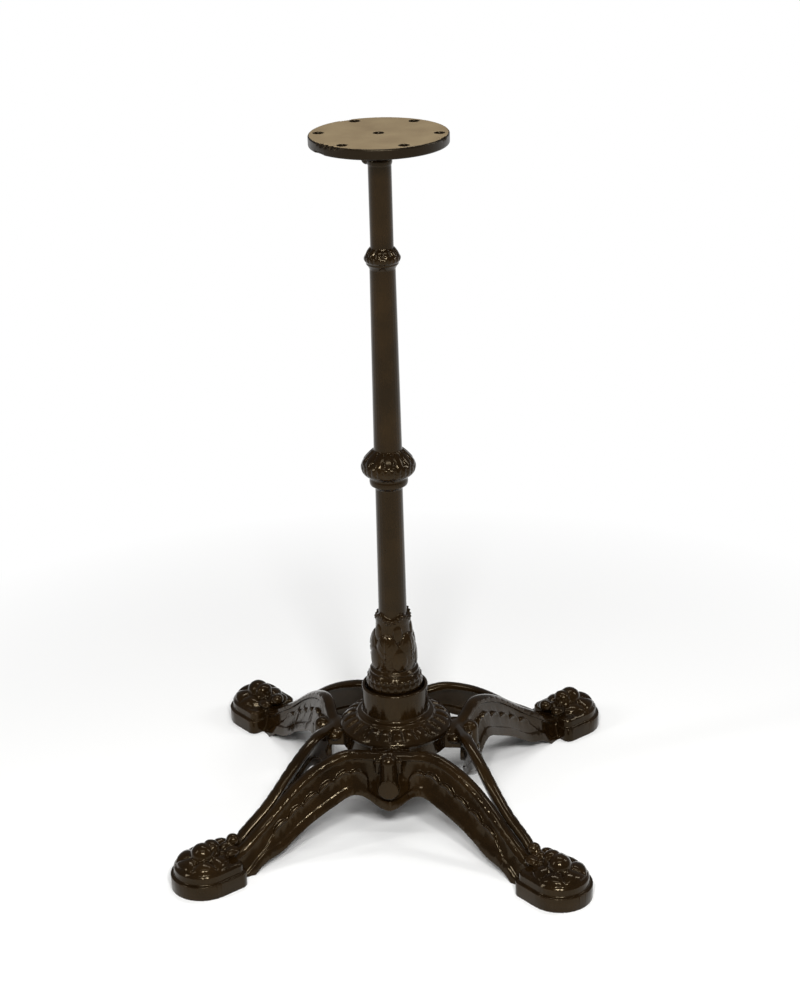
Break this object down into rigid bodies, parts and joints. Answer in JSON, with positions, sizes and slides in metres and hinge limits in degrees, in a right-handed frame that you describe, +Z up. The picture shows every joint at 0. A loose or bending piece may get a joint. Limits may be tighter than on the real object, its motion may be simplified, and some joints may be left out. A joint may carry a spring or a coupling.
{
  "type": "table base",
  "caption": "Cast iron pedestal table base: a star of arched, scalloped legs with rosette feet, a turned hollow column and a round drilled plate that carries the table top.",
  "frame": {"origin": "on the floor under the column's axis, midway between the feet", "axes": "+Z up along the column, -Y the front, seen between two feet, and the feet on the diagonals of X and Y"},
  "size_m": [0.4208, 0.4208, 0.72],
  "materials": {
    "star_paint": "dark brown gloss enamel over the casting",
    "column_paint": "dark brown gloss enamel over the casting",
    "plate_paint": "dark brown gloss enamel over the casting",
    "rod_steel": "plain rolled steel"
  },
  "bodies": {
    "root": {"star_base": "star_paint", "column": "column_paint", "top_plate": "plate_paint", "tie_rod": "rod_steel", "base_washer": "rod_steel", "base_nut": "rod_steel"}
  },
  "joints": []
}
